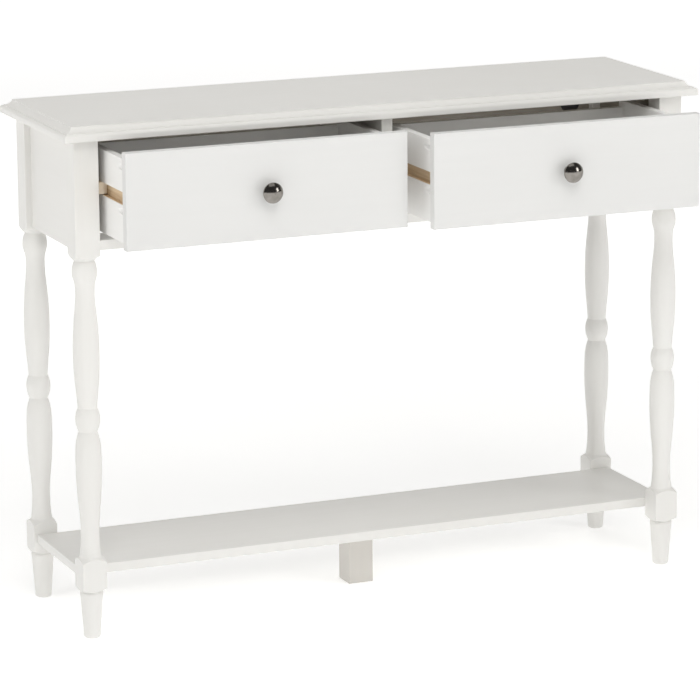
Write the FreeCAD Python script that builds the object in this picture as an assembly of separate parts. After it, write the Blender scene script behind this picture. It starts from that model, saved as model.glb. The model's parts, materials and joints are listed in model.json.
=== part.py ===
import FreeCAD, Part
import math
import os
from FreeCAD import Vector

# Console table with two drawers, four turned legs, a low shelf and a centre foot.
# Millimetres.  Origin on the floor under the middle of the top, +X to the right,
# -Y towards the person using the drawers, +Z up.

# Overall sizes
HEIGHT = 800.0
TOP_WIDTH = 1060.0
TOP_DEPTH = 318.0
TOP_THICK = 22.0
TOP_OVERHANG = 20.0

# Legs
LEG = 39.0
LEG_EDGE = 1.0
UPPER_BLOCK = 175.0
SHOULDER = 9.0
FOOT_SHOULDER = 6.5
TURNING_DRAWN = 482.0
TURNING_SQUARE = 39.0
FOOT_DRAWN = 80.0

# Boards of the drawer case
APRON_THICK = 15.0
APRON_RECESS = 10.0
RAIL_THICK = 15.0
RAIL_DEPTH = 57.0
RAIL_RISE = 5.0
FRONT_RECESS = 2.0
DIVIDER_THICK = 18.0
CABLE_HOLE_R = 15.0
CABLE_HOLE_IN = 35.0
CABLE_HOLE_DOWN = 46.0
CAP_RIM = 2.0
CAP_THICK = 1.6
CAP_WALL = 1.8

# Shelf and centre foot
SHELF_TOP = 108.0
SHELF_THICK = 15.0
BLOCK_BELOW_SHELF = 27.0
BLOCK_ABOVE_SHELF = 12.0
SHELF_INSET = 5.5
CENTER_FOOT = 42.0

# Drawers
FRONT_GAP_SIDE = 4.5
FRONT_GAP_UP = 2.25
FRONT_GAP_TOP = 5.25
FRONT_THICK = 15.0
DRAWER_DEPTH = 244.0
BACK_DROP = 11.0
SIDE_THICK = 12.0
SIDE_IN = 6.0
SIDE_UP = 6.5
SIDE_DOWN = 13.0
BOTTOM_THICK = 6.0
BOTTOM_UP = 8.0
BOTTOM_TONGUE = 4.0
LEFT_OPEN = 108.0
RIGHT_OPEN = 146.0

# Runners
RUNNER = 18.0
RUNNER_RAISE = -0.5
RUNNER_STOP_GAP = 0.2
GROOVE_FLOOR_GAP = 0.5
GROOVE_OVER = 0.5
GROOVE_UNDER = 1.5

# Knobs
KNOB_R = 16.0
KNOB_REACH = 25.0
KNOB_DOME = 6.5
KNOB_STEM_R = 7.0
KNOB_SCREW_R = 2.0

# Pocket screws that hold the drawer fronts
POCKET_R = 4.6
POCKET_TILT = 15.0
POCKET_MOUTH = 20.0
POCKET_WALL = 5.0
POCKET_FROM_END = 13.0
POCKET_LOW = 48.0

# Fastener sizes
DOWEL_R = 4.0
DOWEL_LONG = 30.0
SCREW_R = 2.0
SCREW_HEAD_R = 3.6
PILOT_GAP = 0.15
BRACKET = 20.0
BRACKET_THICK = 2.0

# Positions that follow from the sizes above
TOP_UNDER = HEIGHT - TOP_THICK
LEG_X = TOP_WIDTH / 2 - TOP_OVERHANG - LEG / 2
LEG_Y = TOP_DEPTH / 2 - TOP_OVERHANG - LEG / 2
LEG_OUT_X = LEG_X + LEG / 2
LEG_IN_X = LEG_X - LEG / 2
LEG_OUT_Y = LEG_Y + LEG / 2
LEG_IN_Y = LEG_Y - LEG / 2
APRON_LOW = TOP_UNDER - UPPER_BLOCK
APRON_IN_X = LEG_OUT_X - APRON_RECESS - APRON_THICK
APRON_IN_Y = LEG_OUT_Y - APRON_RECESS - APRON_THICK
RAIL_LOW = APRON_LOW + RAIL_RISE
BAY_LOW = RAIL_LOW + RAIL_THICK
RAIL_FRONT_Y = -LEG_OUT_Y + FRONT_RECESS
RAIL_BACK_Y = RAIL_FRONT_Y + RAIL_DEPTH
DIVIDER_FACE = DIVIDER_THICK / 2
BAY_MID_X = (LEG_IN_X + DIVIDER_FACE) / 2
BAY_WIDTH = LEG_IN_X - DIVIDER_FACE
FRONT_WIDTH = BAY_WIDTH - 2 * FRONT_GAP_SIDE
FRONT_LOW = BAY_LOW + FRONT_GAP_UP
FRONT_HIGH = TOP_UNDER - FRONT_GAP_TOP
SIDE_LOW = FRONT_LOW + SIDE_UP
SIDE_HIGH = FRONT_HIGH - SIDE_DOWN
SIDE_OUT = FRONT_WIDTH / 2 - SIDE_IN
RUNNER_MID_Z = (BAY_LOW + TOP_UNDER) / 2 + RUNNER_RAISE
RUNNER_LOW = RUNNER_MID_Z - RUNNER / 2
RUNNER_HIGH = RUNNER_MID_Z + RUNNER / 2
GROOVE_DEPTH = RUNNER - FRONT_GAP_SIDE - SIDE_IN + GROOVE_FLOOR_GAP
RUNNER_FRONT_Y = -LEG_OUT_Y + FRONT_THICK + RUNNER_STOP_GAP
SHELF_LOW = SHELF_TOP - SHELF_THICK
SHELF_BLOCK_LOW = SHELF_TOP - BLOCK_BELOW_SHELF
SHELF_BLOCK_HIGH = SHELF_TOP + BLOCK_ABOVE_SHELF


def box(x0, x1, y0, y1, z0, z1):
    """Block between two values on each axis."""
    return Part.makeBox(x1 - x0, y1 - y0, z1 - z0, Vector(x0, y0, z0))


def soft_box(x0, x1, y0, y1, z0, z1, radius):
    """Block with all its edges rounded."""
    block = box(x0, x1, y0, y1, z0, z1)
    return block.makeFillet(radius, block.Edges)


def rod(start, along, radius, length):
    """Round bar from a start point along a direction."""
    return Part.makeCylinder(radius, length, Vector(*start), Vector(*along))


def screw(head_at, along, radius, head_radius, head_high, length):
    """Screw with a flat round head that sinks in along its direction."""
    head = rod(head_at, along, head_radius, head_high)
    return head.fuse(rod(head_at, along, radius, length)).removeSplitter()


def arc(start, middle, end):
    """Edge of a circle through three points."""
    return Part.Arc(Vector(*start), Vector(*middle), Vector(*end)).toShape()


def line(start, end):
    """Straight edge."""
    return Part.makeLine(Vector(*start), Vector(*end))


def smooth(points):
    """Edge that runs smoothly through points given as radius and height."""
    curve = Part.BSplineCurve()
    curve.interpolate([Vector(r, 0, z) for r, z in points])
    return curve.toShape()


def save(name, shapes):
    """Write one node; several shapes stay separate solids."""
    shape = shapes[0] if len(shapes) == 1 else Part.makeCompound(shapes)
    shape.exportStep("parts/" + name + ".step")


def moulded_slab(half, length, along_x):
    """Slab whose two long edges carry the moulding; half is half its width."""
    z = HEIGHT
    low = TOP_UNDER

    def at(side, inset, height):
        across = side * (half - inset)
        return (-length / 2, across, height) if along_x else (across, -length / 2, height)

    edges = []
    for side in (-1, 1):
        edges.append(line(at(side, 15.7, z), at(side, 15.7, z - 1.8)))
        edges.append(arc(at(side, 15.7, z - 1.8), at(side, 11.6, z - 6.6), at(side, 5.4, z - 8.8)))
        edges.append(line(at(side, 5.4, z - 8.8), at(side, 5.4, z - 9.8)))
        edges.append(arc(at(side, 5.4, z - 9.8), at(side, 1.5, z - 11.5), at(side, 0, z - 15.0)))
        edges.append(line(at(side, 0, z - 15.0), at(side, 0, low + 1.5)))
        edges.append(arc(at(side, 0, low + 1.5), at(side, 0.45, low + 0.45), at(side, 1.5, low)))
    edges.append(line(at(-1, 15.7, z), at(1, 15.7, z)))
    edges.append(line(at(-1, 1.5, low), at(1, 1.5, low)))
    face = Part.Face(Part.Wire(Part.__sortEdges__(edges)))
    return face.extrude(Vector(length, 0, 0) if along_x else Vector(0, length, 0))


def table_top():
    """Top board with the moulding mitred round its four corners."""
    long_way = moulded_slab(TOP_DEPTH / 2, TOP_WIDTH, True)
    short_way = moulded_slab(TOP_WIDTH / 2, TOP_DEPTH, False)
    return long_way.common(short_way)


def turned(edges, low, high):
    """Solid of revolution between two heights from outline edges given top to bottom."""
    top_r = edges[0].Vertexes[0].Point.x
    low_r = edges[-1].Vertexes[-1].Point.x
    rim = [line((0, 0, high), (top_r, 0, high))]
    sole = [line((low_r, 0, low), (0, 0, low))]
    axis = [line((0, 0, low), (0, 0, high))]
    face = Part.Face(Part.Wire(rim + edges + sole + axis))
    return face.revolve(Vector(0, 0, 0), Vector(0, 0, 1), 360)


def stretched(drawn, drawn_length, high, low):
    """Outline points, radius and distance down, fitted to the leg and to run from high to low."""
    wide = LEG / TURNING_SQUARE
    return [(r * wide, high - down * (high - low) / drawn_length) for r, down in drawn]


def leg_turning():
    """Beads, vases and necks between the two square blocks."""
    high = APRON_LOW + 4.0
    low = SHELF_BLOCK_HIGH - 4.0
    cap = [(17.6, 10.0), (16.6, 10.8), (15.3, 11.6)]
    upper = [(15.3, 11.6), (17.6, 17.0), (19.4, 27.0), (18.9, 36.0), (16.2, 45.0), (14.9, 55.0),
             (15.1, 72.0), (16.9, 92.0), (19.0, 116.0), (20.2, 143.0), (20.2, 168.0),
             (19.2, 192.0), (16.7, 219.0), (15.1, 240.0)]
    bead = [(15.1, 240.0), (17.9, 247.0), (19.1, 256.0), (18.2, 266.0), (14.6, 276.5)]
    lower = [(14.6, 276.5), (16.6, 283.0), (18.7, 292.0), (19.9, 307.0), (20.3, 329.0),
             (19.9, 352.0), (17.9, 383.0), (15.0, 415.0), (14.3, 433.0), (14.7, 450.0),
             (15.7, 463.0)]
    flare = [(15.7, 463.0), (16.3, 468.5), (17.6, 474.0)]
    curves = [stretched(part, TURNING_DRAWN, APRON_LOW, SHELF_BLOCK_HIGH)
              for part in (cap, upper, bead, lower, flare)]
    top_r, top_z = curves[0][0]
    low_r, low_z = curves[-1][-1]
    edges = [line((top_r, 0, high), (top_r, 0, top_z))]
    edges += [smooth(points) for points in curves]
    edges.append(line((low_r, 0, low_z), (low_r, 0, low)))
    return turned(edges, low, high)


def leg_foot():
    """Tapered foot under the lower block, with a groove turned above it."""
    high = SHELF_BLOCK_LOW + 3.0
    taper = [(16.4, 6.4), (17.8, 9.0), (17.5, 16.0), (16.3, 31.0), (14.6, 53.0), (13.0, 75.0)]
    points = stretched(taper, FOOT_DRAWN, SHELF_BLOCK_LOW, 0.0)
    neck_r, neck_z = points[0]
    end_r, end_z = points[-1]
    edges = [
        line((neck_r, 0, high), (neck_r, 0, neck_z)),
        smooth(points),
        arc((end_r, 0, end_z), (end_r - 0.7, 0, 1.6), (end_r - 2.6, 0, 0)),
    ]
    return turned(edges, 0.0, high)


def shoulder(start_z, height):
    """Outline that runs off the corners of a square block, height is negative going down."""
    wide = LEG / TURNING_SQUARE
    drawn = [(27.8, 0.0), (26.4, 0.24), (22.8, 0.52), (18.9, 0.80), (17.4, 1.0)]
    return [(r * wide, start_z + part * height) for r, part in drawn]


def square_block(low, high, under, over):
    """Square part of a leg; its corners are turned away over shoulders under and over it."""
    half = LEG / 2
    block = box(-half, half, -half, half, low - under, high + over)
    block = block.makeFillet(LEG_EDGE, [e for e in block.Edges if e.BoundBox.ZLength > 1])
    bottom = shoulder(low, -under)
    edges = []
    if over:
        top = shoulder(high, over)
        edges.append(smooth(top[::-1]))
    edges.append(line((bottom[0][0], 0, high), (bottom[0][0], 0, low)))
    edges.append(smooth(bottom))
    return block.common(turned(edges, low - under, high + over))


def leg_blank():
    """One whole leg standing on the origin, before its joints are bored."""
    upper = square_block(APRON_LOW - 1.0, TOP_UNDER, SHOULDER, 0.0)
    lower = square_block(SHELF_BLOCK_LOW, SHELF_BLOCK_HIGH, FOOT_SHOULDER, SHOULDER)
    return upper.fuse([leg_turning(), lower, leg_foot()]).removeSplitter()


def side_apron_dowels(side):
    """Dowels between one side apron and its two legs."""
    x = side * (APRON_IN_X + APRON_THICK / 2)
    pins = []
    for end in (-1, 1):
        for z in (APRON_LOW + 30, TOP_UNDER - 30):
            pins.append(rod((x, end * LEG_IN_Y - DOWEL_LONG / 2, z), (0, 1, 0), DOWEL_R, DOWEL_LONG))
    return pins


def long_board_dowels(y, heights):
    """Dowels between a long board and the legs at its two ends."""
    pins = []
    for end in (-1, 1):
        for z in heights:
            pins.append(rod((end * LEG_IN_X - DOWEL_LONG / 2, y, z), (1, 0, 0), DOWEL_R, DOWEL_LONG))
    return pins


def shelf_dowels():
    """Dowels that carry the shelf on the lower blocks of the legs."""
    pins = []
    for side in (-1, 1):
        for end in (-1, 1):
            start = (side * LEG_X, end * LEG_IN_Y - DOWEL_LONG / 2, SHELF_TOP - SHELF_THICK / 2)
            pins.append(rod(start, (0, 1, 0), DOWEL_R, DOWEL_LONG))
    return pins


def side_apron(side):
    """Board between the front and rear leg at one end of the table."""
    xs = sorted((side * APRON_IN_X, side * (APRON_IN_X + APRON_THICK)))
    return box(xs[0], xs[1], -LEG_IN_Y, LEG_IN_Y, APRON_LOW, TOP_UNDER)


def back_apron():
    """Board between the rear legs, bored for cables at its right end."""
    board = box(-LEG_IN_X, LEG_IN_X, APRON_IN_Y, APRON_IN_Y + APRON_THICK, APRON_LOW, TOP_UNDER)
    at = (LEG_IN_X - CABLE_HOLE_IN, APRON_IN_Y - 1, TOP_UNDER - CABLE_HOLE_DOWN)
    return board.cut(rod(at, (0, 1, 0), CABLE_HOLE_R, APRON_THICK + 2))


def cable_hole_cap():
    """Plastic cap pushed into the cable hole, its rim against the inner face."""
    at = (LEG_IN_X - CABLE_HOLE_IN, APRON_IN_Y, TOP_UNDER - CABLE_HOLE_DOWN)
    rim = rod((at[0], at[1] - CAP_THICK, at[2]), (0, 1, 0), CABLE_HOLE_R + CAP_RIM, CAP_THICK)
    rim = rim.makeFillet(0.8, [e for e in rim.Edges if e.BoundBox.YMax < at[1] - 0.5])
    body = rod(at, (0, 1, 0), CABLE_HOLE_R, APRON_THICK - 1.0)
    hollow = rod((at[0], at[1] + CAP_WALL, at[2]), (0, 1, 0), CABLE_HOLE_R - CAP_WALL, APRON_THICK)
    return rim.fuse(body).cut(hollow).removeSplitter()


def runner(side, outer):
    """Square wooden runner on a leg pair or on the divider."""
    if outer:
        xs = sorted((side * (LEG_IN_X - RUNNER), side * LEG_IN_X))
    else:
        xs = sorted((side * DIVIDER_FACE, side * (DIVIDER_FACE + RUNNER)))
    bar = box(xs[0], xs[1], RUNNER_FRONT_Y, APRON_IN_Y, RUNNER_LOW, RUNNER_HIGH)
    ends = [e for e in bar.Edges if e.BoundBox.YLength < 1 and e.BoundBox.YMax < 0]
    return bar.makeChamfer(0.6, ends)


def runner_screws(side, outer):
    """Two screws through one runner, heads sunk in its drawer face."""
    pins = []
    away = side if outer else -side
    face = side * (LEG_IN_X - RUNNER if outer else DIVIDER_FACE + RUNNER)
    leg_bite = (LEG_IN_Y + APRON_IN_Y) / 2
    ys = (-LEG_IN_Y - 9, leg_bite) if outer else (-LEG_IN_Y + 20, LEG_IN_Y - 20)
    for y in ys:
        pins.append(screw((face, y, RUNNER_MID_Z), (away, 0, 0), SCREW_R, SCREW_HEAD_R, 3.0, RUNNER + 8))
    return pins


def top_bracket(place, facing):
    """Steel angle between an apron and the top; facing points into the case."""
    half = BRACKET / 2
    up = box(0, BRACKET_THICK, -half, half, -BRACKET, 0)
    out = box(0, BRACKET, -half, half, -BRACKET_THICK, 0)
    angle = up.fuse(out).removeSplitter()
    angle.rotate(Vector(0, 0, 0), Vector(0, 0, 1), facing)
    angle.translate(Vector(*place))
    return angle


def bracket_screws(place, facing):
    """Two screws of one steel angle: into the apron and up into the top."""
    into = screw((4.0, 0, -12), (-1, 0, 0), SCREW_R, SCREW_HEAD_R, 2.0, 15.0)
    up = screw((12, 0, -4.0), (0, 0, 1), SCREW_R, SCREW_HEAD_R, 2.0, 18.0)
    for pin in (into, up):
        pin.rotate(Vector(0, 0, 0), Vector(0, 0, 1), facing)
        pin.translate(Vector(*place))
    return [into, up]


def bracket_places():
    """Where the steel angles sit under the top, and which way each one faces."""
    places = []
    for y in (-50, 50):
        places.append(((-APRON_IN_X, y, TOP_UNDER), 0))
        places.append(((APRON_IN_X, y, TOP_UNDER), 180))
    for x in (-BAY_MID_X, BAY_MID_X):
        places.append(((x, APRON_IN_Y, TOP_UNDER), 270))
    return places


def divider_screws():
    """Screws through the rail and the back apron into the centre divider."""
    pins = [screw((0, RAIL_FRONT_Y + 28, RAIL_LOW), (0, 0, 1), 2.5, 4.5, 3.0, 45.0)]
    back = APRON_IN_Y + APRON_THICK
    for z in (BAY_LOW + 30, TOP_UNDER - 35):
        pins.append(screw((0, back, z), (0, -1, 0), 2.5, 4.5, 3.0, 45.0))
    return pins


def drawer_front(mid_x, face_y):
    """Inset drawer front, grooved behind for the bottom and bored for its fasteners."""
    half = FRONT_WIDTH / 2
    back = face_y + FRONT_THICK
    board = box(mid_x - half, mid_x + half, face_y, back, FRONT_LOW, FRONT_HIGH)
    rim = [e for e in board.Edges if e.BoundBox.YMax < face_y + 1]
    board = board.makeFillet(1.2, rim)
    inner = SIDE_OUT - SIDE_THICK
    low = SIDE_LOW + BOTTOM_UP
    reach = inner + BOTTOM_TONGUE
    return board.cut(box(mid_x - reach, mid_x + reach, back - BOTTOM_TONGUE, back,
                         low, low + BOTTOM_THICK))


def pocket_lines(mid_x, face_y, side):
    """Seat of each slanted pocket in one drawer side, and the way its screw points."""
    tilt = math.radians(POCKET_TILT)
    forward = Vector(-side * math.sin(tilt), -math.cos(tilt), 0)
    reach = (POCKET_MOUTH - POCKET_WALL) / math.cos(tilt)
    lines = []
    for z in (SIDE_HIGH - POCKET_FROM_END, SIDE_LOW + POCKET_LOW):
        mouth = Vector(mid_x + side * SIDE_OUT, face_y + FRONT_THICK + POCKET_MOUTH, z)
        lines.append((mouth + forward * reach, forward))
    return lines


def drawer_side(mid_x, face_y, side):
    """Drawer side with the runner groove outside and the bottom groove inside."""
    outer = mid_x + side * SIDE_OUT
    inner = outer - side * SIDE_THICK
    y0 = face_y + FRONT_THICK
    y1 = face_y + DRAWER_DEPTH
    xs = sorted((outer, inner))
    board = box(xs[0], xs[1], y0, y1, SIDE_LOW, SIDE_HIGH)
    tops = [e for e in board.Edges if e.BoundBox.ZMin > SIDE_HIGH - 1 and e.BoundBox.YLength > 1]
    board = board.makeFillet(1.0, tops)
    gs = sorted((outer, outer - side * GROOVE_DEPTH))
    board = board.cut(box(gs[0], gs[1], y0, y1, RUNNER_LOW - GROOVE_UNDER, RUNNER_HIGH + GROOVE_OVER))
    low = SIDE_LOW + BOTTOM_UP
    bs = sorted((inner, inner + side * BOTTOM_TONGUE))
    board = board.cut(box(bs[0], bs[1], y0, y1, low, low + BOTTOM_THICK))
    for seat, forward in pocket_lines(mid_x, face_y, side):
        board = board.cut(rod(seat, forward * -1, POCKET_R, 60.0))
    return board


def drawer_pocket_screws(mid_x, face_y):
    """Four screws from the side pockets into the drawer front."""
    pins = []
    for side in (-1, 1):
        for seat, forward in pocket_lines(mid_x, face_y, side):
            pins.append(screw(seat - forward * 3.0, forward, SCREW_R, SCREW_HEAD_R, 3.0, 19.0))
    return pins


def front_pilots(mid_x, face_y):
    """Pilot holes for the pocket screws in the drawer front, a hair wider than the screws."""
    holes = []
    for side in (-1, 1):
        for seat, forward in pocket_lines(mid_x, face_y, side):
            holes.append(rod(seat, forward, SCREW_R + PILOT_GAP, 16.0 + PILOT_GAP))
    return holes


def drawer_back(mid_x, face_y):
    """Board between the drawer sides at their rear ends, a little lower than they are."""
    inner = SIDE_OUT - SIDE_THICK
    y1 = face_y + DRAWER_DEPTH
    y0 = y1 - SIDE_THICK
    board = box(mid_x - inner, mid_x + inner, y0, y1, SIDE_LOW, SIDE_HIGH - BACK_DROP)
    low = SIDE_LOW + BOTTOM_UP
    return board.cut(box(mid_x - inner, mid_x + inner, y0, y0 + BOTTOM_TONGUE,
                         low, low + BOTTOM_THICK))


def drawer_bottom(mid_x, face_y):
    """Thin panel held in the grooves of the four drawer boards."""
    reach = SIDE_OUT - SIDE_THICK + BOTTOM_TONGUE
    y0 = face_y + FRONT_THICK - BOTTOM_TONGUE
    y1 = face_y + DRAWER_DEPTH - SIDE_THICK + BOTTOM_TONGUE
    low = SIDE_LOW + BOTTOM_UP
    panel = box(mid_x - reach, mid_x + reach, y0, y1, low, low + BOTTOM_THICK)
    notch_y = face_y + DRAWER_DEPTH - SIDE_THICK
    inner = SIDE_OUT - SIDE_THICK
    for side in (-1, 1):
        xs = sorted((mid_x + side * inner, mid_x + side * reach))
        panel = panel.cut(box(xs[0], xs[1], notch_y, y1, low, low + BOTTOM_THICK))
    return panel


def back_pins(mid_x, face_y):
    """Four dowels that hold the drawer back between the sides."""
    pins = []
    y = face_y + DRAWER_DEPTH - SIDE_THICK / 2 + 1
    for side in (-1, 1):
        start = mid_x + side * (SIDE_OUT - SIDE_THICK - 14)
        for z in (SIDE_LOW + 40, SIDE_HIGH - BACK_DROP - 14):
            pins.append(rod((start, y, z), (side, 0, 0), 3.0, 17.5))
    return pins


def knob(mid_x, face_y):
    """Round domed knob on a waisted stem, turned about the drawer's own axis."""
    rim_z = KNOB_REACH - KNOB_DOME
    rim_r = KNOB_R - 0.9
    dome_r = (rim_r ** 2 + KNOB_DOME ** 2) / (2 * KNOB_DOME)
    tilt = math.asin(rim_r / dome_r) / 2
    crown = (dome_r * math.sin(tilt), 0, KNOB_REACH - dome_r * (1 - math.cos(tilt)))
    outline = [
        line((0, 0, 0), (8.5, 0, 0)),
        line((8.5, 0, 0), (8.5, 0, 1.6)),
        arc((8.5, 0, 1.6), (KNOB_STEM_R - 0.9, 0, 5.5), (KNOB_STEM_R, 0, rim_z - 8.5)),
        arc((KNOB_STEM_R, 0, rim_z - 8.5), (KNOB_R - 4.2, 0, rim_z - 6.4), (KNOB_R - 1.0, 0, rim_z - 4.0)),
        arc((KNOB_R - 1.0, 0, rim_z - 4.0), (KNOB_R, 0, rim_z - 1.9), (rim_r, 0, rim_z)),
        arc((rim_r, 0, rim_z), crown, (0, 0, KNOB_REACH)),
        line((0, 0, KNOB_REACH), (0, 0, 0)),
    ]
    body = Part.Face(Part.Wire(outline)).revolve(Vector(0, 0, 0), Vector(0, 0, 1), 360)
    body.rotate(Vector(0, 0, 0), Vector(1, 0, 0), 90)
    body.translate(Vector(mid_x, face_y, (FRONT_LOW + FRONT_HIGH) / 2))
    return body


def knob_screw(mid_x, face_y):
    """Machine screw through the drawer front into the knob."""
    z = (FRONT_LOW + FRONT_HIGH) / 2
    head = (mid_x, face_y + FRONT_THICK + 3.0, z)
    return screw(head, (0, -1, 0), KNOB_SCREW_R, 4.0, 3.0, 3.0 + FRONT_THICK + 12.0)


def build_drawer(name, mid_x, face_y):
    """Write every piece of one drawer."""
    pocket = drawer_pocket_screws(mid_x, face_y)
    pins = back_pins(mid_x, face_y)
    pull = knob_screw(mid_x, face_y)
    front = drawer_front(mid_x, face_y).cut(front_pilots(mid_x, face_y) + [pull])
    save(name + "_front", [front])
    for side, word in ((-1, "left"), (1, "right")):
        board = drawer_side(mid_x, face_y, side)
        save(name + "_" + word + "_side", [board.cut(pocket + pins)])
    save(name + "_back", [drawer_back(mid_x, face_y).cut(pins)])
    save(name + "_bottom", [drawer_bottom(mid_x, face_y)])
    save(name + "_pocket_screws", pocket)
    save(name + "_back_dowels", pins)
    save(name + "_knob", [knob(mid_x, face_y).cut(pull)])
    save(name + "_knob_screw", [pull])


def build_frame():
    """Write every piece that stays still."""
    back_mid = APRON_IN_Y + APRON_THICK / 2
    rail_mid = (RAIL_FRONT_Y + RAIL_FRONT_Y + LEG - FRONT_RECESS) / 2
    aprons = side_apron_dowels(-1) + side_apron_dowels(1)
    backs = long_board_dowels(back_mid, (APRON_LOW + 50, TOP_UNDER - 70))
    rails = long_board_dowels(rail_mid, (RAIL_LOW + RAIL_THICK / 2,))
    shelves = shelf_dowels()
    foot_pin = rod((0, 0, SHELF_LOW - 20), (0, 0, 1), 5.0, 30.0)
    dividers = divider_screws()
    runner_pins = []
    for side in (-1, 1):
        for outer in (True, False):
            runner_pins += runner_screws(side, outer)
    angle_pins = []
    for place, facing in bracket_places():
        angle_pins += bracket_screws(place, facing)

    blank = leg_blank()
    for side, side_word in ((-1, "left"), (1, "right")):
        for end, end_word in ((-1, "front"), (1, "rear")):
            leg = blank.copy()
            leg.translate(Vector(side * LEG_X, end * LEG_Y, 0))
            leg = leg.cut(aprons + backs + rails + shelves + runner_pins)
            save("leg_" + end_word + "_" + side_word, [leg])
        save("side_apron_" + side_word, [side_apron(side).cut(aprons + angle_pins)])
        save("runner_" + side_word + "_outer", [runner(side, True).cut(runner_pins)])
        save("runner_" + side_word + "_inner", [runner(side, False).cut(runner_pins)])

    save("table_top", [table_top().cut(angle_pins)])
    save("back_apron", [back_apron().cut(backs + dividers + angle_pins)])
    rail = soft_box(-LEG_IN_X, LEG_IN_X, RAIL_FRONT_Y, RAIL_BACK_Y, RAIL_LOW, BAY_LOW, 0.8)
    save("front_rail", [rail.cut(rails + dividers)])
    divider = box(-DIVIDER_FACE, DIVIDER_FACE, RAIL_FRONT_Y, APRON_IN_Y, BAY_LOW, TOP_UNDER)
    save("center_divider", [divider.cut(dividers + runner_pins)])

    reach = LEG_OUT_X - SHELF_INSET
    shelf = box(-reach, reach, -LEG_IN_Y, LEG_IN_Y, SHELF_LOW, SHELF_TOP)
    shelf = shelf.makeFillet(1.2, shelf.Edges)
    save("cable_hole_cap", [cable_hole_cap()])
    save("lower_shelf", [shelf.cut(shelves + [foot_pin])])
    half = CENTER_FOOT / 2
    block = box(-half, half, -half, half, 0, SHELF_LOW)
    block = block.makeFillet(1.2, [e for e in block.Edges if e.BoundBox.ZLength > 1])
    save("center_foot", [block.cut(foot_pin)])

    save("apron_dowels", aprons + backs + rails)
    save("shelf_dowels", shelves)
    save("foot_dowel", [foot_pin])
    save("divider_screws", dividers)
    save("runner_screws", runner_pins)
    angles = []
    for place, facing in bracket_places():
        angles.append(top_bracket(place, facing).cut(bracket_screws(place, facing)))
    save("top_brackets", angles)
    save("bracket_screws", angle_pins)


os.makedirs("parts", exist_ok=True)
build_frame()
build_drawer("drawer_left", -BAY_MID_X, -LEG_OUT_Y - LEFT_OPEN)
build_drawer("drawer_right", BAY_MID_X, -LEG_OUT_Y - RIGHT_OPEN)
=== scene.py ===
import json
import math

import bmesh
import bpy
import numpy as np
from mathutils import Matrix, Vector


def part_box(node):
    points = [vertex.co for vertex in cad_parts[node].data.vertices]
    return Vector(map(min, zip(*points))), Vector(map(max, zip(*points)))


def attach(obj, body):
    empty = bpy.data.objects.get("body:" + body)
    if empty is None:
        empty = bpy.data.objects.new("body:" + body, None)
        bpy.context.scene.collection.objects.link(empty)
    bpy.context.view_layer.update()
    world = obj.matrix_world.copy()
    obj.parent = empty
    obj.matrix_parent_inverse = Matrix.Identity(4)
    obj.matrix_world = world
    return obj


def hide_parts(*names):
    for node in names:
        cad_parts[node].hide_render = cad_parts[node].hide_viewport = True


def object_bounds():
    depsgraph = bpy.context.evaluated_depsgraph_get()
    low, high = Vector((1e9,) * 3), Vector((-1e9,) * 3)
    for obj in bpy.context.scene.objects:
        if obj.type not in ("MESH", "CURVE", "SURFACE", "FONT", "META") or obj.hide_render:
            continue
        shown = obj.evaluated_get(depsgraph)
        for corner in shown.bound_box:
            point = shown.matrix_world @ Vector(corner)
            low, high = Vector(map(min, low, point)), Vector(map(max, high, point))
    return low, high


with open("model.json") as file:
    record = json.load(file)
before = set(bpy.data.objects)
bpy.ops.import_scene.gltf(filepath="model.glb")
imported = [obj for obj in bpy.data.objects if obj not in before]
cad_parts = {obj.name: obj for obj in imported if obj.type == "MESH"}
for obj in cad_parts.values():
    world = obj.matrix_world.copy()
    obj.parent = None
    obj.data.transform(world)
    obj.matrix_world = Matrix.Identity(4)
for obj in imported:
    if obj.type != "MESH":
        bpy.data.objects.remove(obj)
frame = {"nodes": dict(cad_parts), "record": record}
cad_low, cad_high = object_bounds()
scene = bpy.context.scene

MM = 0.001
PAINT = (0.835, 0.828, 0.805)
PAINT_SHADE = (0.79, 0.78, 0.75)
FRONT_PAINT = (0.755, 0.755, 0.745)
FRONT_SHADE = (0.725, 0.725, 0.715)
# Centre foot paint, darker and warmer than the rest: painted shade for the shelf's shadow over the foot
FOOT_PAINTED_SHADE = (0.70, 0.675, 0.635)
FOOT_PAINTED_SHADE_DARK = (0.66, 0.635, 0.595)
# Drawer box white, brighter than the case paint: painted light that lifts the shaded insides of the
# drawers
INSIDE_PAINTED_LIGHT = (0.93, 0.925, 0.91)
INSIDE_PAINTED_LIGHT_MOTTLE = (0.89, 0.885, 0.87)
RAW_LIGHT = (0.78, 0.63, 0.44)
RAW_DARK = (0.60, 0.43, 0.26)
END_LIGHT = (0.86, 0.76, 0.60)
END_DARK = (0.70, 0.55, 0.37)
# Dark brown board on the case's inner faces: painted shade for the dark inside of the case
SHADE_BOARD_LIGHT = (0.34, 0.315, 0.275)
SHADE_BOARD_DARK = (0.24, 0.215, 0.18)
PAINT_DEPTH = 1.3 * MM
# Thickness of the skin boxes that carry the case's painted shade and the runner ends' painted light
PAINTED_SHADE_AND_LIGHT_SKIN = 0.6 * MM
# Paler tone of the runners' front ends: painted light on the lit end face
PAINTED_LIGHT_END = (0.92, 0.86, 0.75)
GROOVE_SPARE = Vector((0.0, 0.0, 4.0 * MM))
SKIN = Vector((PAINTED_SHADE_AND_LIGHT_SKIN, PAINTED_SHADE_AND_LIGHT_SKIN, PAINTED_SHADE_AND_LIGHT_SKIN))
NICKEL = ((0.33, 0.312, 0.288), (0.24, 0.225, 0.205))
ZINC = ((0.66, 0.64, 0.58), (0.52, 0.50, 0.45))
SCREW_ZINC = ((0.66, 0.63, 0.55), (0.50, 0.47, 0.40))
BLACK = ((0.018, 0.018, 0.019), (0.03, 0.03, 0.031))
X, Y, Z = range(3)
SLOT_TURN = 0.7
RANGE_KEYS = ("From Min", "From Max", "To Min", "To Max")


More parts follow.
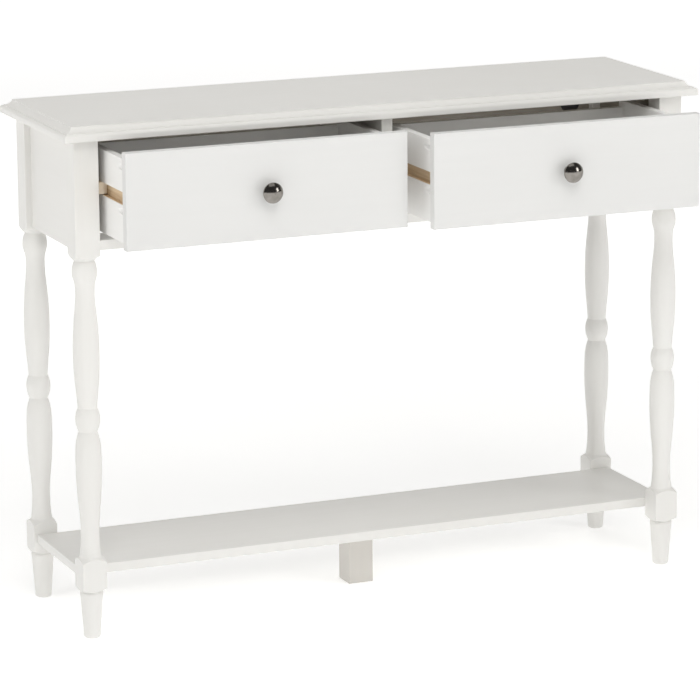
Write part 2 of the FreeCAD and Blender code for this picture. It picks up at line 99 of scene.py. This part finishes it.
class Graph:
    """Short way to add and join shader nodes of one material."""

    def __init__(self, name):
        self.material = bpy.data.materials.new(name)
        self.material.use_nodes = True
        self.tree = self.material.node_tree
        self.tree.nodes.clear()
        self.out = self.add("ShaderNodeOutputMaterial")
        self.shader = self.add("ShaderNodeBsdfPrincipled")
        self.join(self.shader.outputs["BSDF"], self.out.inputs["Surface"])
        self.place = self.add("ShaderNodeTexCoord").outputs["Object"]

    def add(self, kind, **values):
        node = self.tree.nodes.new(kind)
        for key, value in values.items():
            setattr(node, key, value)
        return node

    def join(self, start, end):
        self.tree.links.new(start, end)

    def stretch(self, scale, shift=(0.0, 0.0, 0.0)):
        node = self.add("ShaderNodeMapping")
        node.inputs["Scale"].default_value = scale
        node.inputs["Location"].default_value = shift
        self.join(self.place, node.inputs["Vector"])
        return node.outputs["Vector"]

    def noise(self, vector, scale, detail=3.0, rough=0.5, twist=0.0):
        node = self.add("ShaderNodeTexNoise")
        node.inputs["Scale"].default_value = scale
        node.inputs["Detail"].default_value = detail
        node.inputs["Roughness"].default_value = rough
        node.inputs["Distortion"].default_value = twist
        self.join(vector, node.inputs["Vector"])
        return node.outputs["Fac"]

    def spread(self, value, low, high, to_low, to_high):
        node = self.add("ShaderNodeMapRange")
        for key, number in zip(RANGE_KEYS, (low, high, to_low, to_high)):
            node.inputs[key].default_value = number
        self.join(value, node.inputs["Value"])
        return node.outputs["Result"]

    def mix(self, share, first, second):
        node = self.add("ShaderNodeMix", data_type="RGBA")
        sockets = (node.inputs[6], node.inputs[7])
        for socket, colour in zip(sockets, (first, second)):
            if isinstance(colour, tuple):
                socket.default_value = (*colour, 1.0)
            else:
                self.join(colour, socket)
        self.join(share, node.inputs[0])
        return node.outputs[2]

    def sum(self, kind, first, second):
        node = self.add("ShaderNodeMath", operation=kind)
        for socket, value in zip(node.inputs, (first, second)):
            if isinstance(value, float):
                socket.default_value = value
            else:
                self.join(value, socket)
        return node.outputs[0]

    def bump(self, heights):
        """Chain of bumps; each item is a height, its strength and its depth in metres."""
        last = None
        for height, strength, depth in heights:
            node = self.add("ShaderNodeBump")
            node.inputs["Strength"].default_value = strength
            node.inputs["Distance"].default_value = depth
            self.join(height, node.inputs["Height"])
            if last is not None:
                self.join(last, node.inputs["Normal"])
            last = node.outputs["Normal"]
        self.join(last, self.shader.inputs["Normal"])

    def inside_box(self, low, high):
        """1 where a point lies in the box between two corners, 0 outside."""
        move = self.add("ShaderNodeVectorMath", operation="SUBTRACT")
        self.join(self.place, move.inputs[0])
        move.inputs[1].default_value = (Vector(low) + Vector(high)) / 2
        share = self.add("ShaderNodeVectorMath", operation="DIVIDE")
        self.join(move.outputs[0], share.inputs[0])
        share.inputs[1].default_value = (Vector(high) - Vector(low)) / 2
        size = self.add("ShaderNodeVectorMath", operation="ABSOLUTE")
        self.join(share.outputs[0], size.inputs[0])
        parts = self.add("ShaderNodeSeparateXYZ")
        self.join(size.outputs[0], parts.inputs[0])
        most = self.sum("MAXIMUM", parts.outputs[0], parts.outputs[1])
        most = self.sum("MAXIMUM", most, parts.outputs[2])
        return self.sum("LESS_THAN", most, 1.0)


def along(axis, long_scale, cross_scale):
    """Scale that draws a pattern out along one axis."""
    return tuple(long_scale if i == axis else cross_scale for i in range(3))


def wood_colour(graph, axis, light, dark):
    """Rings and pores of bare planed wood, running along one axis."""
    rings = graph.noise(graph.stretch(along(axis, 5.0, 130.0)), 1.0, 4.0, 0.6, 0.6)
    pores = graph.noise(graph.stretch(along(axis, 30.0, 1500.0)), 1.0, 2.0, 0.7)
    tone = graph.mix(graph.spread(rings, 0.32, 0.68, 0.0, 1.0), dark, light)
    return graph.mix(graph.spread(pores, 0.30, 0.52, 0.55, 0.0), tone, dark), rings, pores


def painted(name, axis, light, shade, bare_and_shade_box=None, bare_and_shade_tones=(RAW_LIGHT, RAW_DARK)):
    """Satin lacquer over wood, with its grain along one axis; inside the given box the wood shows bare,
    and on the case's inner faces that dark board is painted shade.
    """
    graph = Graph(name)
    cloud = graph.noise(graph.stretch((1.0, 1.0, 1.0)), 3.2, 3.0, 0.55)
    streak = graph.noise(graph.stretch(along(axis, 4.0, 95.0)), 1.0, 4.0, 0.6, 0.35)
    fine = graph.noise(graph.stretch(along(axis, 24.0, 620.0)), 1.0, 3.0, 0.6)
    peel = graph.noise(graph.stretch((1.0, 1.0, 1.0)), 520.0, 2.0, 0.45)
    tone = graph.mix(graph.spread(cloud, 0.35, 0.65, 0.0, 0.55), light, shade)
    tone = graph.mix(graph.spread(streak, 0.42, 0.72, 0.0, 0.28), tone, shade)
    gloss = graph.spread(peel, 0.3, 0.7, 0.36, 0.47)
    if bare_and_shade_box is not None:
        bare_and_shade, _, _ = wood_colour(graph, axis, *bare_and_shade_tones)
        inner = graph.inside_box(*bare_and_shade_box)
        tone = graph.mix(inner, tone, bare_and_shade)
        gloss = graph.sum("ADD", gloss, graph.sum("MULTIPLY", inner, 0.3))
    graph.join(tone, graph.shader.inputs["Base Color"])
    graph.join(gloss, graph.shader.inputs["Roughness"])
    graph.shader.inputs["Coat Weight"].default_value = 0.12
    graph.shader.inputs["Coat Roughness"].default_value = 0.22
    graph.bump([(streak, 0.30, 0.25 * MM), (fine, 0.25, 0.08 * MM), (peel, 0.22, 0.06 * MM)])
    return graph.material


def bare_wood(name, axis, light, dark, lit_end_box=None):
    """Planed wood with no finish; inside the given box its sawn end is painted paler: painted light on
    the end that faces the lamps.
    """
    graph = Graph(name)
    colour, rings, pores = wood_colour(graph, axis, light, dark)
    if lit_end_box is not None:
        painted_light_end, _, _ = wood_colour(graph, axis, PAINTED_LIGHT_END, END_LIGHT)
        colour = graph.mix(graph.inside_box(*lit_end_box), colour, painted_light_end)
    graph.join(colour, graph.shader.inputs["Base Color"])
    graph.join(graph.spread(pores, 0.3, 0.7, 0.72, 0.55), graph.shader.inputs["Roughness"])
    graph.bump([(rings, 0.25, 0.2 * MM), (pores, 0.4, 0.12 * MM)])
    return graph.material


def metal(name, light, dark, rough, scratch):
    """Plated metal with small clouds of tone and fine scratches."""
    graph = Graph(name)
    cloud = graph.noise(graph.stretch((1.0, 1.0, 1.0)), 90.0, 4.0, 0.6)
    lines = graph.noise(graph.stretch((160.0, 160.0, 2600.0)), 1.0, 2.0, 0.6)
    graph.join(graph.mix(graph.spread(cloud, 0.3, 0.7, 0.0, 1.0), light, dark),
               graph.shader.inputs["Base Color"])
    gloss = graph.spread(lines, 0.3, 0.7, rough * 0.8, rough * 1.25)
    graph.join(gloss, graph.shader.inputs["Roughness"])
    graph.shader.inputs["Metallic"].default_value = 1.0
    graph.bump([(cloud, 0.12, 0.03 * MM), (lines, scratch, 0.02 * MM)])
    return graph.material


def moulded_plastic(name, light, dark):
    """Dull plastic with a finely pebbled skin."""
    graph = Graph(name)
    pebble = graph.noise(graph.stretch((1.0, 1.0, 1.0)), 1400.0, 2.0, 0.5)
    cloud = graph.noise(graph.stretch((1.0, 1.0, 1.0)), 60.0, 3.0, 0.5)
    graph.join(graph.mix(cloud, light, dark), graph.shader.inputs["Base Color"])
    graph.join(graph.spread(pebble, 0.3, 0.7, 0.42, 0.6), graph.shader.inputs["Roughness"])
    graph.bump([(pebble, 0.4, 0.05 * MM)])
    return graph.material


def board_axis(node):
    """Index of a board's longest side."""
    low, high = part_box(node)
    size = [high[i] - low[i] for i in range(3)]
    return size.index(max(size))


def dress(node, material):
    """Give one CAD node its material."""
    mesh = frame["nodes"][node].data
    mesh.materials.clear()
    mesh.materials.append(material)


def islands(node):
    """Corner points of each separate solid in a group node."""
    mesh = frame["nodes"][node].data
    keys = [tuple(round(c * 2e5) for c in v.co) for v in mesh.vertices]
    first = {}
    root = list(range(len(keys)))

    def find(i):
        while root[i] != i:
            root[i] = root[root[i]]
            i = root[i]
        return i

    for i, key in enumerate(keys):
        root[find(i)] = find(first.setdefault(key, i))
    for edge in mesh.edges:
        a, b = edge.vertices
        root[find(a)] = find(b)
    groups = {}
    for i, v in enumerate(mesh.vertices):
        groups.setdefault(find(i), []).append(tuple(v.co))
    return [np.array(points) for _, points in sorted(groups.items())]


def screw_rings(radius, head, length):
    """Outline of a pan-head wood screw: radius and depth below the head's crown."""
    shank = radius * 0.56
    rings = [(radius * 0.72, 0.0), (radius * 0.90, head * 0.10), (radius, head * 0.34),
             (radius, head * 0.72), (radius * 0.93, head), (shank, head * 1.06)]
    turns = 9
    step = (length - head * 1.2) / turns
    for i in range(turns):
        z = head * 1.1 + i * step
        rings += [(shank * 0.78, z), (shank, z + step * 0.45), (shank * 0.78, z + step * 0.8)]
    rings.append((shank * 0.2, length))
    return rings


def screw_mesh(bm, at, direction, radius, head, length, slot_turn):
    """Adds one screw with a cross recess in its head."""
    sides = 24
    turn = Vector((0, 0, 1)).rotation_difference(Vector(direction)).to_matrix().to_4x4()
    frame_at = Matrix.Translation(at) @ turn @ Matrix.Rotation(slot_turn, 4, "Z")

    def ring(r, z):
        return [bm.verts.new(frame_at @ Vector((r * math.cos(a), r * math.sin(a), z)))
                for a in (2 * math.pi * i / sides for i in range(sides))]

    loops = [ring(r, z) for r, z in screw_rings(radius, head, length)]
    for upper, lower in zip(loops, loops[1:]):
        for i in range(sides):
            j = (i + 1) % sides
            bm.faces.new((upper[i], upper[j], lower[j], lower[i]))
    bm.faces.new(loops[-1])
    wide, thin, deep = radius * 0.55, radius * 0.13, head * 0.62
    cross = []
    for quarter in range(4):
        spin = Matrix.Rotation(quarter * math.pi / 2, 4, "Z")
        for x, y in ((thin, thin), (wide, thin), (wide, -thin)):
            cross.append(spin @ Vector((x, y, 0.0)))
    cross.sort(key=lambda p: math.atan2(p.y, p.x))
    mouth = [bm.verts.new(frame_at @ p) for p in cross]
    floor = [bm.verts.new(frame_at @ Vector((p.x * 0.8, p.y * 0.8, deep))) for p in cross]
    count = len(cross)
    for i in range(count):
        j = (i + 1) % count
        bm.faces.new((mouth[i], mouth[j], floor[j], floor[i]))
    bm.faces.new(floor)
    crown = loops[0]
    angles = [math.atan2(p.y, p.x) % (2 * math.pi) for p in cross]
    near = [min(range(count), key=lambda k: abs((angles[k] - 2 * math.pi * i / sides + math.pi)
                                                % (2 * math.pi) - math.pi)) for i in range(sides)]
    for i in range(sides):
        j = (i + 1) % sides
        steps = (near[j] - near[i]) % count
        if steps > count / 2:
            steps = 0
        fan = [mouth[(near[i] + k) % count] for k in range(steps + 1)]
        bm.faces.new([crown[i], *fan, crown[j]])


def replace_screws(node, material):
    """Stands real screws in for every plain screw of one node."""
    bm = bmesh.new()
    for number, points in enumerate(islands(node)):
        middle = (points.min(axis=0) + points.max(axis=0)) / 2
        longest = np.linalg.svd(points - points.mean(axis=0), full_matrices=False)[2][0]
        along_it = (points - middle) @ longest
        off_it = np.linalg.norm(points - middle - np.outer(along_it, longest), axis=1)
        radius = float(off_it.max())
        wide = along_it[off_it > radius * 0.93]
        forward = 1.0 if wide.mean() < (along_it.min() + along_it.max()) / 2 else -1.0
        ends = (along_it.min(), along_it.max())
        start = middle + longest * (ends[0] if forward > 0 else ends[1])
        screw_mesh(bm, Vector(start), Vector(longest) * forward, radius * 0.99,
                   float(wide.max() - wide.min()), float(ends[1] - ends[0]), number * SLOT_TURN)
    bmesh.ops.recalc_face_normals(bm, faces=bm.faces)
    mesh = bpy.data.meshes.new(node + "_real")
    bm.to_mesh(mesh)
    bm.free()
    piece = bpy.data.objects.new(node + "_real", mesh)
    scene.collection.objects.link(piece)
    mesh.materials.append(material)
    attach(piece, body_of_node(node))
    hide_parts(node)


def body_of_node(node):
    """Name of the CAD body that holds a node."""
    for body, nodes in frame["record"]["behaviour"]["bodies"].items():
        if node in nodes:
            return body
    raise ValueError(node)


def shaded_inner_face(node):
    """Box round the skin of a case board's face that looks into the drawer case, where dark bare board
    is painted shade.
    """
    low, high = (list(corner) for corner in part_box(node))
    if node == "table_top":
        low[0], high[0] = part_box("side_apron_left")[0][0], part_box("side_apron_right")[1][0]
        low[1], high[1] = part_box("front_rail")[0][1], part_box("back_apron")[1][1]
        high[2] = low[2] + PAINTED_SHADE_AND_LIGHT_SKIN
        low[2] -= PAINTED_SHADE_AND_LIGHT_SKIN
    elif node == "back_apron":
        high[1] = low[1] + PAINTED_SHADE_AND_LIGHT_SKIN
        low[1] -= PAINTED_SHADE_AND_LIGHT_SKIN
    elif node == "side_apron_left":
        low[0], high[0] = high[0] - PAINTED_SHADE_AND_LIGHT_SKIN, high[0] + PAINTED_SHADE_AND_LIGHT_SKIN
    elif node == "side_apron_right":
        low[0], high[0] = low[0] - PAINTED_SHADE_AND_LIGHT_SKIN, low[0] + PAINTED_SHADE_AND_LIGHT_SKIN
    else:
        return None
    return tuple(low), tuple(high)


def groove_box(low, high):
    """Box round the runner groove of a drawer side, from end to end."""
    runner_low, runner_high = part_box("runner_left_outer")
    return (Vector((low[0], low[1] - 1.0, runner_low[2])) - GROOVE_SPARE,
            Vector((high[0], high[1] + 1.0, runner_high[2])) + GROOVE_SPARE)


def material_for(node):
    """Material of one CAD node, chosen by what the piece is."""
    low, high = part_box(node)
    raw = (tuple(c + PAINT_DEPTH for c in low), tuple(c - PAINT_DEPTH for c in high))
    paint = "paint_" + node
    if node.endswith("_knob"):
        return metal("nickel_" + node, *NICKEL, 0.16, 0.10)
    if node.startswith("runner_") and not node.endswith("screws"):
        # The runner's front end is painted paler: painted light
        front = (Vector(low) - SKIN, Vector((high[0], low[1], high[2])) + SKIN)
        return bare_wood("wood_" + node, Y, END_LIGHT, END_DARK, front)
    if "dowel" in node:
        return bare_wood("beech_" + node, board_axis(node), END_LIGHT, END_DARK)
    if node == "cable_hole_cap":
        return moulded_plastic("black_" + node, *BLACK)
    if node == "top_brackets" or "screw" in node:
        return metal("zinc_" + node, *ZINC, 0.32, 0.25)
    # The centre foot gets the darker paint: painted shade under the shelf
    if node == "center_foot":
        return painted(paint, Z, FOOT_PAINTED_SHADE, FOOT_PAINTED_SHADE_DARK)
    if node.startswith("leg_"):
        return painted(paint, Z, PAINT, PAINT_SHADE)
    # The case's inner faces are drawn as dark bare board: painted shade
    bare_and_shade = shaded_inner_face(node)
    if bare_and_shade:
        return painted(paint, board_axis(node), PAINT, PAINT_SHADE, bare_and_shade, (SHADE_BOARD_LIGHT, SHADE_BOARD_DARK))
    if node == "lower_shelf":
        return painted(paint, X, PAINT, PAINT_SHADE)
    if node.startswith("drawer_") and node.endswith("_front"):
        return painted(paint, X, FRONT_PAINT, FRONT_SHADE, raw)
    # Drawer sides, backs and bottoms take the brighter white: painted light in the drawers' shaded
    # insides
    if node.startswith("drawer_") and node.endswith("_side"):
        return painted(paint, board_axis(node), INSIDE_PAINTED_LIGHT, INSIDE_PAINTED_LIGHT_MOTTLE, groove_box(*raw))
    if node.startswith("drawer_"):
        return painted(paint, board_axis(node), INSIDE_PAINTED_LIGHT, INSIDE_PAINTED_LIGHT_MOTTLE, raw)
    return painted(paint, board_axis(node), PAINT, PAINT_SHADE, raw)


# Materials on the CAD pieces, and real screws in place of the plain ones
nodes = list(frame["nodes"])
for node in nodes:
    dress(node, material_for(node))

zinc = metal("zinc_screws", *SCREW_ZINC, 0.30, 0.2)
for node in nodes:
    if "screw" in node:
        replace_screws(node, zinc)

# Floor, which glows a little more far from the table so that it stays white there
FLOOR_HALF = 30.0
FLOOR_GLOW = (0.35, 0.85)
FLOOR_GLOW_REACH = (1.5, 9.0)
bpy.ops.mesh.primitive_plane_add(size=2 * FLOOR_HALF, location=(0, 0, cad_low[2]))
floor = bpy.context.object
floor.name = "studio_floor"
graph = Graph("pale_floor")
cloud = graph.noise(graph.stretch((1.0, 1.0, 1.0)), 0.8, 2.0, 0.5)
graph.join(graph.mix(cloud, (0.93, 0.93, 0.93), (0.95, 0.95, 0.95)), graph.shader.inputs["Base Color"])
graph.shader.inputs["Roughness"].default_value = 0.9
graph.shader.inputs["Specular IOR Level"].default_value = 0.0
graph.shader.inputs["Emission Color"].default_value = (1.0, 1.0, 1.0, 1.0)
apart = graph.add("ShaderNodeVectorMath", operation="LENGTH")
graph.join(graph.place, apart.inputs[0])
glow = graph.spread(apart.outputs["Value"], *FLOOR_GLOW_REACH, *FLOOR_GLOW)
graph.join(glow, graph.shader.inputs["Emission Strength"])
floor.data.materials.append(graph.material)

# Light
SKY_STRENGTH = 0.36
GLOSS_ROOM = (-0.25, 0.45, 0.06, 0.70)
world = bpy.data.worlds.new("studio")
scene.world = world
world.use_nodes = True
sky = world.node_tree.nodes["Background"]
sky.inputs["Color"].default_value = (1.0, 0.99, 0.97, 1.0)


def world_node(kind, **values):
    """Adds one node to the world's light."""
    node = world.node_tree.nodes.new(kind)
    for key, value in values.items():
        setattr(node, key, value)
    return node


# Gloss sees a bright wall behind the table and a dim room in front of it
links = world.node_tree.links
look = world_node("ShaderNodeTexCoord").outputs["Generated"]
parts = world_node("ShaderNodeSeparateXYZ")
wall = world_node("ShaderNodeMapRange", interpolation_type="SMOOTHSTEP")
path = world_node("ShaderNodeLightPath")
pick = world_node("ShaderNodeMix", data_type="FLOAT")
for key, number in zip(RANGE_KEYS, GLOSS_ROOM):
    wall.inputs[key].default_value = number
links.new(look, parts.inputs[0])
links.new(parts.outputs["Y"], wall.inputs["Value"])
links.new(path.outputs["Is Glossy Ray"], pick.inputs[0])
pick.inputs[2].default_value = SKY_STRENGTH
links.new(wall.outputs["Result"], pick.inputs[3])
links.new(pick.outputs[0], sky.inputs["Strength"])


def soft_box(name, at, aim, width, height, power, colour, shown=True):
    """Area light that faces a point; shown says whether gloss reflects it."""
    light = bpy.data.lights.new(name, "AREA")
    light.shape = "RECTANGLE"
    light.size = width
    light.size_y = height
    light.energy = power
    light.color = colour
    lamp = bpy.data.objects.new(name, light)
    lamp.location = at
    lamp.visible_glossy = shown
    lamp.rotation_mode = "QUATERNION"
    lamp.rotation_quaternion = (Vector(aim) - Vector(at)).to_track_quat("-Z", "Y")
    scene.collection.objects.link(lamp)


middle = (cad_low + cad_high) / 2
DAYLIGHT = (1.0, 0.995, 0.98)
soft_box("key", middle + Vector((4.0, -4.2, 2.0)), middle, 1.7, 2.6, 52.0, DAYLIGHT)
soft_box("front_fill", middle + Vector((-0.8, -3.0, 3.6)), middle, 3.0, 3.0, 72.0, DAYLIGHT, shown=False)
soft_box("left_fill", middle + Vector((-4.0, -0.6, 1.8)), middle, 2.4, 2.4, 28.0, DAYLIGHT, shown=False)
soft_box("back_fill", middle + Vector((1.0, 3.8, 1.9)), middle, 3.0, 3.0, 30.0, DAYLIGHT, shown=False)
soft_box("overhead", middle + Vector((0.0, -0.9, 3.2)), middle, 2.4, 2.4, 11.0, DAYLIGHT)

# Camera
AZIMUTH = math.radians(-23.239)
ELEVATION = math.radians(11.976)
ROLL = math.radians(-0.321)
DISTANCE = 6.0646
TARGET = Vector((0.0539, 0.0, 0.4894))
data = bpy.data.cameras.new("camera")
data.sensor_width = 36.0
data.lens = 195.49
data.shift_x = -0.05
data.shift_y = -0.10
data.clip_end = 200.0
back = Vector((math.sin(AZIMUTH) * math.cos(ELEVATION), -math.cos(AZIMUTH) * math.cos(ELEVATION),
               math.sin(ELEVATION)))
right = Vector((0, 0, 1)).cross(back).normalized()
up = back.cross(right)
side = math.cos(ROLL) * right + math.sin(ROLL) * up
rise = -math.sin(ROLL) * right + math.cos(ROLL) * up
camera = bpy.data.objects.new("camera", data)
turn = Matrix((side, rise, back)).transposed().to_4x4()
camera.matrix_world = Matrix.Translation(TARGET + back * DISTANCE) @ turn
scene.collection.objects.link(camera)
scene.camera = camera
scene.view_settings.view_transform = "Standard"
